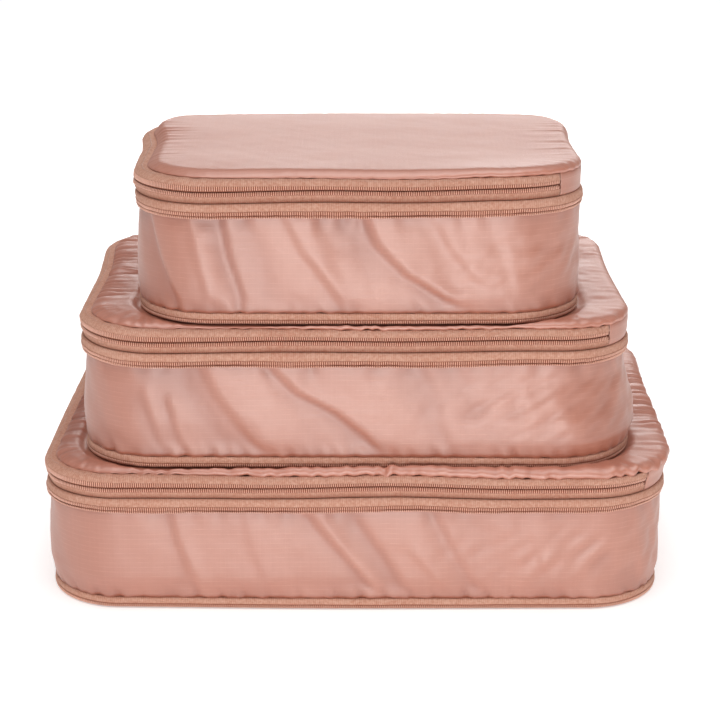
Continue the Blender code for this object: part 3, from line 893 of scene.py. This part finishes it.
def make_lid(cube):
    outline = cube.outline
    x, y = panel_grid(outline, 0.0021)
    inset, s = outline.locate(x, y)
    inset = np.maximum(inset, 0.0)
    seam_in, seam_z = lid_seam(cube, s)
    look = LID_LOOK[cube.size]
    full = outline.around(front_left=look["roll"][0], front=look["roll"][1], front_right=look["roll"][2],
                          left=0.1, back_left=0.3, back=0.8, back_right=0.7, right=0.45)(s)
    lip, flat = profile(LIP), profile(FLAT_LIP)
    steps = np.linspace(0, 1, PROFILE_STEPS)
    t = np.clip(inset / LIP_REACH, 0, 1)
    from_edge = np.interp(t, steps, lip[0]) * full + np.interp(t, steps, flat[0]) * (1 - full)
    rise = np.interp(t, steps, lip[1]) * full * look["rise"] + np.interp(t, steps, flat[1]) * (1 - full)
    last = (lip[0][-1] * full + flat[0][-1] * (1 - full)) + seam_in
    beyond = last + (inset - LIP_REACH) * (LIP_BLEND - last) / (LIP_BLEND - LIP_REACH)
    beyond = np.where(inset < LIP_BLEND, beyond, inset)
    new_inset = np.where(inset < LIP_REACH, seam_in + from_edge, beyond)
    frill = outline.around(rest=0.12, front=1.0, front_left=0.25, front_right=0.7)(s) * look["ruffle"]
    ruffle = np.tanh(cube.noise(s, 0.010, 41))
    uneven = 0.65 + 0.45 * cube.noise(s, 0.070, 50)
    wave = frill * uneven * (0.00042 * ruffle + 0.00025 * cube.noise(s, 0.034, 42))
    swing = np.tanh(cube.noise(s + 0.0025, 0.010, 41))
    new_inset = new_inset - frill * uneven * bell(inset, 0.0060) * 0.00042 * swing
    normal = outline.at(s)[1]
    outer = 1 - smooth(inset / LID_EASE)
    shift = inset - new_inset + cube.push(s, 0.0910) * outer
    px, py = x + normal[..., 0] * shift, y + normal[..., 1] * shift

    centred = smooth(inset / 0.045)
    z = (seam_z + rise) * (1 - centred) + LID_TOP * centred
    z = z + bell(inset, 0.0105) * wave * (0.35 + 0.65 * smooth(inset / 0.0015))
    gather = outline.around(rest=0.25, left=1.0, right=look["right"][0], front_left=0.3,
                            front_right=look["right"][1], front=0.35)(s)
    pulled = (1 - np.exp(-inset / 0.003)) * bell(inset, 0.020)
    drawn = look["gather"] * gather * pulled * (cube.noise(s, 0.0085, 44) + 0.6 * cube.noise(s, 0.019, 45))
    z = z + 0.00075 * drawn
    soft = smooth(inset / 0.020)
    z = z + soft * look["waves"] * MM * crumple(x, y, 0.050, cube.seed + 46)
    z = z + soft * look["waves"] * 0.3 * MM * crumple(x, y, 0.014, cube.seed + 47)
    bunched = outline.around(front_right=1.0, right=0.4)(s) * smooth(inset / 0.003) * outer
    z = z + 0.9 * look["bunch"] * look["waves"] * MM * bunched * crumple(x, y, 0.017, cube.seed + 49)
    z = z + look["puff"] * MM * smooth(inset / 0.011)
    dx = (x - outline.centre[0]) / outline.half[0]
    dy = (y - outline.centre[1]) / outline.half[1]
    z = z + look["crown"] * MM * (1 - dx**2) * (1 - dy**2)
    z = z + look["back"] * MM * smooth((dy + 0.4) / 1.4) * smooth((inset - 0.0025) / 0.006)
    z = z + cube.lift(s, 0.091) * outer
    if cube.above:
        under = smooth((cube.above.locate(px, py)[0] + 0.0075) / 0.005)
        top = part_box(cube.size + "_lid_panel")[1].z - cube.floor - 0.0001
        pressed = top - 0.0004 + 0.0002 * crumple(x, y, 0.020, cube.seed + 48)
        z = np.where(z > pressed, z * (1 - under) + pressed * under, z)
    # Painted shade: a line along the seam, the hollows of the gathers, and the left margin beside the cube
    # above, strongest on the large lid.
    shade = 0.50 * np.exp(-inset / 0.0010) + 0.38 * np.clip(-drawn / 1.2, 0, 1)
    left = outline.around(left=1.0, back_left=0.8, front_left=0.3)(s) * bell(inset, 0.034)
    shade = np.clip(shade + look["left_shade"] * left, 0, 1)
    mesh = Mesh()
    upper = np.stack([px, py, z + cube.floor], -1)
    panel(mesh, upper, upper - surface_normals(upper) * CLOTH_THICK, shade)
    lid = mesh.build(cube, "lid_fabric", "lid", "ripstop", [LIGHTENED_LID_CLOTH], "lid_panel")


def make_base(cube):
    """The base's cloth. Its grid is the lower face, so the thickness goes up, into the cube."""
    outline = cube.outline
    x, y = panel_grid(outline, 0.0055)
    inset, s = outline.locate(x, y)
    inset = np.maximum(inset, 0.0)
    turn = profile([(1.3, 6.7), (0.5, 5.6), (0.5, 3.4), (1.2, 1.3), (3.2, 0.25), (6.5, 0.12)])
    reach = 0.0105
    t = np.clip(inset / reach, 0, 1)
    steps = np.linspace(0, 1, PROFILE_STEPS)
    beyond = inset - (reach - turn[0][-1]) * np.exp(-(inset - reach) / 0.02)
    new_inset = np.where(inset < reach, np.interp(t, steps, turn[0]), beyond)
    z = np.interp(t, steps, turn[1])
    z = z + 0.00012 * smooth(inset / 0.02) * (1 + crumple(x, y, 0.030, cube.seed + 51))
    normal = outline.at(s)[1]
    shift = inset - new_inset + cube.push(s, 0.003) * (1 - smooth(inset / 0.030))
    spots = np.stack([x, y], -1) + normal * shift[..., None]
    lower = np.concatenate([spots, (z + cube.floor)[..., None]], -1)
    level = smooth(inset / 0.006)[..., None]
    upper = lower + np.array([0.0, 0.0, 1.0]) * CLOTH_THICK * level
    upper = upper - np.concatenate([normal, 0 * inset[..., None]], -1) * CLOTH_THICK * (1 - level)
    mesh = Mesh()
    panel(mesh, upper, lower)
    base = mesh.build(cube, "base_fabric", "base", "ripstop", [RIPSTOP], "base_panel")


# ---------------------------------------------------------------- sliders and pulls

# A slider's plates are this thick. The front one's outer face lies this far inside the node's box, its
# bridge stands this far out of it, and the foot of the bridge goes this far into the plate.
PLATE = 0.0011
PLATE_DEPTH = 0.0018
BRIDGE_TOP = 0.0018
BRIDGE_FOOT = 0.0002


def thicken(build, faces, along, bevel, segments=3):
    """Extrudes flat faces and rounds the edges that this makes."""
    moved = bmesh.ops.extrude_face_region(build, geom=faces)
    lifted = [item for item in moved["geom"] if isinstance(item, bmesh.types.BMVert)]
    bmesh.ops.translate(build, verts=lifted, vec=along)
    bmesh.ops.recalc_face_normals(build, faces=build.faces[:])
    sharp = [edge for edge in build.edges if edge.calc_face_angle(0.0) > 0.8]
    bmesh.ops.bevel(build, geom=sharp, offset=bevel, segments=segments, profile=0.6, affect="EDGES")
    return build


def solid(points, low, high, bevel):
    """A flat outline of (x, z) points, thickened along y and bevelled."""
    build = bmesh.new()
    face = build.faces.new([build.verts.new((x, low, z)) for x, z in points])
    return thicken(build, [face], (0.0, high - low, 0.0), bevel)


def pierced(points, centre, radius, low, high, bevel):
    """The same with a round hole, from whose centre the whole outline can be seen."""
    corners = np.array(points)
    after = np.roll(corners, -1, axis=0)
    steps = np.linspace(0, 1, 6, endpoint=False)[None, :, None]
    edge = (corners[:, None] * (1 - steps) + after[:, None] * steps).reshape(-1, 2)
    edge = edge[np.hypot(*(edge - np.roll(edge, 1, axis=0)).T) > 1e-6]
    away = edge - centre
    rim = centre + radius * away / np.linalg.norm(away, axis=1, keepdims=True)
    build = bmesh.new()
    outer, inner = ([build.verts.new((x, low, z)) for x, z in line] for line in (edge, rim))
    faces = []
    for k in range(len(outer)):
        following = (k + 1) % len(outer)
        faces.append(build.faces.new((outer[k], outer[following], inner[following], inner[k])))
    return thicken(build, faces, (0.0, high - low, 0.0), bevel)


def oval(half_x, half_z, sharp=2.6, count=40):
    """A rounded outline between an ellipse and a box."""
    angles = np.linspace(0, 2 * math.pi, count, endpoint=False)
    c, s = np.cos(angles), np.sin(angles)
    x = half_x * np.sign(c) * np.abs(c) ** (2 / sharp)
    z = half_z * np.sign(s) * np.abs(s) ** (2 / sharp)
    return list(zip(x, z))


def merge_builds(name, builds, place, body, node):
    """Makes one metal piece of several builds, and frees them."""
    mesh = bpy.data.meshes.new(name)
    whole = bmesh.new()
    for build in builds:
        part = bpy.data.meshes.new("part")
        build.to_mesh(part)
        build.free()
        whole.from_mesh(part)
        bpy.data.meshes.remove(part)
    bmesh.ops.translate(whole, verts=whole.verts[:], vec=place)
    whole.to_mesh(mesh)
    whole.free()
    mesh.shade_smooth()
    mesh.set_sharp_from_angle(angle=math.radians(40))
    add_piece(name, mesh, body, [METAL], node)


def bridge_arch(reach, foot, top, half_width):
    """The arch that the pull hangs on, as a bent bar."""
    angles = np.linspace(math.pi, 0, 9)
    outer = [(-reach, foot), (-reach, top * 0.45)]
    outer += [(reach * math.cos(a), top * 0.45 + top * 0.55 * math.sin(a)) for a in angles[1:-1]]
    outer += [(reach, top * 0.45), (reach, foot)]
    within = reach * 0.62
    inner = [(within, foot), (within, top * 0.35)]
    inner += [(within * math.cos(a), top * 0.35 + top * 0.38 * math.sin(a)) for a in angles[::-1][1:-1]]
    inner += [(-within, top * 0.35), (-within, foot)]
    build = bmesh.new()
    face = build.faces.new([build.verts.new((x, y, -half_width)) for x, y in outer + inner])
    return thicken(build, [face], (0.0, 0.0, 2 * half_width), 0.0002, 2)


def make_sliders(cube):
    """Both sliders. Only the main zip's has a rear plate and a web between its plates."""
    for kind in ("main", "squeeze"):
        node = f"{cube.size}_{kind}_slider"
        low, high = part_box(node)
        half = (high - low) / 2
        place = Vector(((low.x + high.x) / 2, high.y, 0.0))
        pull_low, pull_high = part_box(f"{cube.size}_{kind}_pull")
        place.z = (pull_low.z + pull_high.z) / 2
        face, back = -PLATE_DEPTH, low.y - high.y
        front = solid(oval(half.x, half.z), face - PLATE, face, 0.0003)
        parts = [front, bridge_arch(0.0023, face - BRIDGE_FOOT, BRIDGE_TOP, 0.0010)]
        if kind == "squeeze":
            bmesh.ops.translate(front, verts=front.verts[:], vec=(0, 0, (low.z + high.z) / 2 - place.z))
        else:
            parts.append(solid(oval(half.x * 0.96, half.z * 0.74), back, back + PLATE, 0.0003))
            parts.append(solid(oval(half.x * 0.55, 0.0003), back + 0.0006, face - 0.0006, 0.00005))
        merge_builds(f"{cube.size}_{kind}_slider_body", parts, place, node, node)
        make_pull(cube, kind)


def make_pull(cube, kind):
    """A flat tab with an eye, a waist and a raised grip."""
    node = f"{cube.size}_{kind}_pull"
    low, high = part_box(node)
    length, half = high.x - low.x, (high.z - low.z) / 2
    middle = Vector((low.x, (low.y + high.y) / 2, (low.z + high.z) / 2))
    thick = (high.y - low.y) / 2 * 0.8
    edge = [(0.0, -0.62 * half), (0.0035, -0.72 * half), (0.0060, -0.60 * half), (0.0090, -0.80 * half)]
    angles = np.linspace(-math.pi / 2, math.pi / 2, 13)
    tip = [(length - half + half * math.cos(a), half * math.sin(a)) for a in angles]
    upper = [(x, -z) for x, z in reversed(edge)]
    tab = pierced(edge + tip + upper, (0.0020, 0.0), 0.0011, -thick, thick, 0.0002)
    grip = solid(oval(0.0034, 0.52 * half), -thick - 0.0002, thick + 0.0002, 0.00015)
    bmesh.ops.translate(grip, verts=grip.verts[:], vec=(length - 0.0062, 0.0, 0.0))
    merge_builds(f"{cube.size}_{kind}_pull_tab", [tab, grip], middle, node, node)


# ---------------------------------------------------------------- materials

def feed(value, socket):
    """Links a value to a socket, or sets the socket to a number or a colour."""
    if isinstance(value, Value):
        value.tree.links.new(value.source, socket)
    else:
        socket.default_value = value


class Value:
    """An output in a node tree. Arithmetic with it adds math nodes."""

    def __init__(self, tree, source):
        self.tree, self.source = tree, source

    def math(self, operation, *values):
        node = self.tree.nodes.new("ShaderNodeMath")
        node.operation = operation
        for value, socket in zip(values, node.inputs):
            feed(value, socket)
        return Value(self.tree, node.outputs[0])

    def __add__(self, other):
        return self.math("ADD", self, other)

    def __radd__(self, other):
        return self.math("ADD", other, self)

    def __sub__(self, other):
        return self.math("SUBTRACT", self, other)

    def __rsub__(self, other):
        return self.math("SUBTRACT", other, self)

    def __mul__(self, other):
        return self.math("MULTIPLY", self, other)

    def clamped(self):
        self.source.node.use_clamp = True
        return self

    def lines(self, pitch, width):
        """One on thin lines a pitch apart, zero between them."""
        part = self.math("FRACT", self * (1.0 / pitch))
        away = self.math("ABSOLUTE", part - 0.5)
        return (1.0 - away * (1.0 / width)).clamped()


class Nodes:
    """A Principled material and short ways to add to it."""

    def __init__(self, name, roughness, **values):
        self.material = bpy.data.materials.new(name)
        self.material.use_nodes = True
        self.tree = self.material.node_tree
        self.shader = self.tree.nodes["Principled BSDF"]
        self.shader.inputs["Roughness"].default_value = roughness
        for key, value in values.items():
            self.shader.inputs[key.replace("_", " ")].default_value = value

    def node(self, kind, output, **inputs):
        """Adds a node, feeds its inputs and gives one of its outputs."""
        node = self.tree.nodes.new("ShaderNode" + kind)
        for key, value in inputs.items():
            feed(value, node.inputs[key])
        return Value(self.tree, node.outputs[output])

    def cloth(self):
        """The cloth coordinates: along, up and the share of painted shade."""
        source = self.node("Attribute", "Vector")
        source.source.node.attribute_name = "cloth"
        split = self.node("SeparateXYZ", 0, Vector=source).source.node
        return [Value(self.tree, output) for output in split.outputs]

    def noise(self, vector, scale, detail=2.0):
        return self.node("TexNoise", "Fac", Scale=scale, Detail=detail, Vector=vector)

    def streaks(self, along, up, detail=2.0):
        """Noise over the cloth, stretched by what its coordinates are multiplied by."""
        return self.noise(self.node("CombineXYZ", 0, X=along, Y=up), 1.0, detail)

    def place(self):
        return self.node("TexCoord", "Object")

    def blend(self, share, a, b):
        """A mix of two colours."""
        node = self.tree.nodes.new("ShaderNodeMix")
        node.data_type = "RGBA"
        feed(share, node.inputs["Factor"])
        for key, value in (("A", a), ("B", b)):
            socket = next(s for s in node.inputs if s.name == key and s.type == "RGBA")
            feed((*value, 1.0) if isinstance(value, tuple) else value, socket)
        return Value(self.tree, next(s for s in node.outputs if s.type == "RGBA"))

    def bump(self, height, distance, strength, **below):
        return self.node("Bump", "Normal", Strength=strength, Distance=distance, Height=height, **below)

    def finish(self, colour, normal=None, roughness=None):
        for key, value in (("Base Color", colour), ("Normal", normal), ("Roughness", roughness)):
            if value:
                feed(value, self.shader.inputs[key])
        return self.material


def ripstop(name, colour, pale, dark, gloss):
    """Thin silky cloth with a raised thread every few millimetres, both ways."""
    n = Nodes(name, 0.45, IOR=1.75, Specular_IOR_Level=1.0, Specular_Tint=(1.0, 0.97, 0.95, 1.0),
              Sheen_Weight=0.16, Sheen_Roughness=0.45, Sheen_Tint=(1.0, 0.86, 0.80, 1.0))
    along, up, shade = n.cloth()
    level, upright = up.lines(GRID_PITCH, 0.11), along.lines(GRID_PITCH, 0.08)
    broken = ((n.streaks(along * 130.0, up * 300.0, 1.0) - 0.30) * 2.6).clamped()
    grid = level.math("MAXIMUM", level, upright * 0.30) * broken
    slub = n.streaks(along * 30.0, up * 700.0)
    warp = n.streaks(along * 600.0, up * 25.0)
    mottle = slub * 0.40 + warp * 0.22 + n.noise(n.place(), 22.0, 3.0) * 0.35
    tone = (mottle - 0.32 + grid * 0.55).clamped()
    # Painted shade from the mesh's shade channel, mixed towards the dark colour.
    cloth = n.blend((shade * 0.8).clamped(), n.blend(tone, colour, pale), dark)
    weave = n.bump(n.streaks(along * 2600.0, up * 2600.0, 1.0), 0.00010, 0.35)
    threads = n.bump(grid + (slub + warp) * 0.5, 0.00015, 0.28, Normal=weave)
    return n.finish(cloth, threads, gloss + slub * 0.12)


def woven_tape(name, colour, pale, dark, rib_pitch):
    """A knitted zip tape: fine ribs across it and finer courses along it."""
    n = Nodes(name, 0.75, IOR=1.5, Specular_IOR_Level=0.25, Specular_Tint=(1.0, 0.72, 0.58, 1.0),
              Sheen_Weight=0.10, Sheen_Roughness=0.5, Sheen_Tint=(1.0, 0.72, 0.58, 1.0))
    along, up, shade = n.cloth()
    cross, course = along.lines(rib_pitch, 0.45), up.lines(0.00062, 0.45)
    fuzz = n.noise(n.place(), 620.0, 3.0)
    uneven = (fuzz - 0.5) * 1.5 + n.noise(n.place(), 40.0) * 0.42
    tone = (cross * 0.36 + course * 0.22 + uneven).clamped()
    # Painted shade from the mesh's shade channel, mixed towards the dark colour.
    cloth = n.blend((shade * 0.9).clamped(), n.blend(tone, colour, pale), dark)
    normal = n.bump(cross * course + fuzz * 0.6, 0.00030, 0.8)
    return n.finish(cloth, normal, 0.66 + fuzz * 0.2)


def nylon(name, colour, pale):
    """Coil teeth and thread: smooth nylon with a slight change of tone."""
    n = Nodes(name, 0.45, Specular_IOR_Level=0.5, Sheen_Weight=0.15, Sheen_Roughness=0.4)
    patch = n.noise(n.place(), 300.0, 3.0)
    strand = n.noise(n.place(), 2400.0, 1.0)
    return n.finish(n.blend(patch, colour, pale), n.bump(strand, 0.00006, 0.5), 0.34 + strand * 0.2)


def painted_metal(name, colour, pale, bare):
    """Satin paint over cast zinc, rubbed through along the sharpest edges."""
    n = Nodes(name, 0.35, Metallic=0.0, Specular_IOR_Level=0.5, Coat_Weight=0.25, Coat_Roughness=0.25)
    patch = n.noise(n.place(), 260.0, 4.0)
    grit = n.noise(n.place(), 1500.0, 3.0)
    sharp = ((n.node("NewGeometry", "Pointiness") - 0.56) * 9.0).clamped()
    patchy = sharp * grit.math("GREATER_THAN", grit, 0.46)
    paint = n.blend(patchy, n.blend(patch, colour, pale), bare)
    return n.finish(paint, n.bump(grit, 0.00003, 0.3), 0.26 + grit * 0.2)


# Each colour comes with a pale one that it's mixed with. Cloth adds the colour of its painted shade, then
# its gloss or its rib pitch, and the metal adds its colour where the paint is worn.
RIPSTOP = ripstop("rose_ripstop", (0.440, 0.140, 0.080), (0.590, 0.250, 0.168), (0.300, 0.068, 0.028), 0.42)
# The lids' copy of the ripstop, a little lighter: painted light, for the brighter light that falls on the
# tops.
LIGHTENED_LID_CLOTH = ripstop("rose_ripstop_lid_painted_lighter", (0.495, 0.158, 0.092), (0.630, 0.265, 0.178),
                    (0.300, 0.062, 0.024), 0.40)
TAPE = woven_tape("rose_zip_tape", (0.500, 0.215, 0.140), (0.700, 0.420, 0.320),
                  (0.230, 0.058, 0.028), 0.00135)
BINDING = woven_tape("rose_binding", (0.520, 0.200, 0.120), (0.700, 0.350, 0.240),
                     (0.170, 0.044, 0.020), 0.0011)
COIL = nylon("rose_coil", (0.640, 0.300, 0.205), (0.780, 0.450, 0.340))
THREAD = nylon("rose_thread", (0.520, 0.250, 0.170), (0.620, 0.350, 0.260))
METAL = painted_metal("rose_painted_metal", (0.400, 0.180, 0.120), (0.480, 0.240, 0.170),
                      (0.62, 0.58, 0.54))


# ---------------------------------------------------------------- studio

WHITE = (1.0, 1.0, 1.0, 1.0)
FLOOR_GLOW = 0.38
SKY_GLOW = 0.25
SUN_POWER, SUN_SPREAD, SUN_TILT = 1.45, 60, 12

# Lamps, as place, target, width, height and power. A target of None is the middle of the set.
LAMPS = {
    "front_key": ((0.0, -1.25, 0.12), (0.0, -0.15, 0.07), 0.60, 0.24, 4.4),
    "back_glow": ((0.16, 2.0, 0.64), (0.0, 0.0, 0.20), 1.3, 0.42, 9.8),
    "ceiling": ((0.0, 0.0, 1.9), None, 1.2, 1.2, 4.5),
}

# The photo's camera, from a fit.
CAMERA_PLACE = (0.0042, -1.14, 0.4958)
CAMERA_DOWN = 18.3
CAMERA_LENS, CAMERA_SENSOR = 85.0, 36.0


def make_floor():
    bpy.ops.mesh.primitive_plane_add(size=24.0, location=(0.0, 0.0, CAD_BOX[0].z - 0.0003))
    floor = bpy.context.object
    floor.name = "studio_floor"
    n = Nodes("pale_floor", 0.9, Specular_IOR_Level=0.1, Emission_Color=WHITE, Emission_Strength=FLOOR_GLOW)
    patch = n.noise(n.place(), 3.0)
    floor.data.materials.append(n.finish(n.blend(patch, (0.90, 0.90, 0.90), (0.93, 0.93, 0.93))))


def area_light(name, place, target, width, height, power):
    data = bpy.data.lights.new(name, "AREA")
    data.shape = "RECTANGLE"
    data.size, data.size_y = width, height
    data.energy = power
    lamp = add_object(name, data)
    lamp.location = place
    lamp.rotation_euler = (Vector(target) - Vector(place)).to_track_quat("-Z", "Y").to_euler()
    lamp.visible_camera = False


def make_lights():
    middle = (CAD_BOX[0] + CAD_BOX[1]) / 2
    sun = bpy.data.lights.new("soft_overhead", "SUN")
    sun.energy = SUN_POWER
    sun.angle = math.radians(SUN_SPREAD)
    add_object("soft_overhead", sun).rotation_euler = (math.radians(SUN_TILT), 0.0, 0.0)
    for name, (place, target, width, height, power) in LAMPS.items():
        area_light(name, place, target or middle, width, height, power)
    world = bpy.data.worlds.new("studio")
    world.use_nodes = True
    background = world.node_tree.nodes["Background"]
    background.inputs["Color"].default_value = WHITE
    background.inputs["Strength"].default_value = SKY_GLOW
    bpy.context.scene.world = world
    bpy.context.scene.view_settings.view_transform = "Standard"


def make_camera():
    data = bpy.data.cameras.new("camera")
    data.lens = CAMERA_LENS
    data.sensor_width = CAMERA_SENSOR
    camera = add_object("camera", data)
    camera.location = CAMERA_PLACE
    camera.rotation_euler = (math.radians(90.0 - CAMERA_DOWN), 0.0, 0.0)
    bpy.context.scene.camera = camera


# ---------------------------------------------------------------- the set

make_camera()
make_floor()
make_lights()
MAKERS = (make_base, make_wall, make_foot_tape, make_hanging_tape, make_lower_tape, make_upper_tape,
          make_inner_coils, make_bindings, make_strip, make_lid, make_sliders)
outlines = [Cube(size, None).outline for size in SIZES] + [None]
for size, above in zip(SIZES, outlines[1:]):
    cube = Cube(size, above)
    for make in MAKERS:
        make(cube)
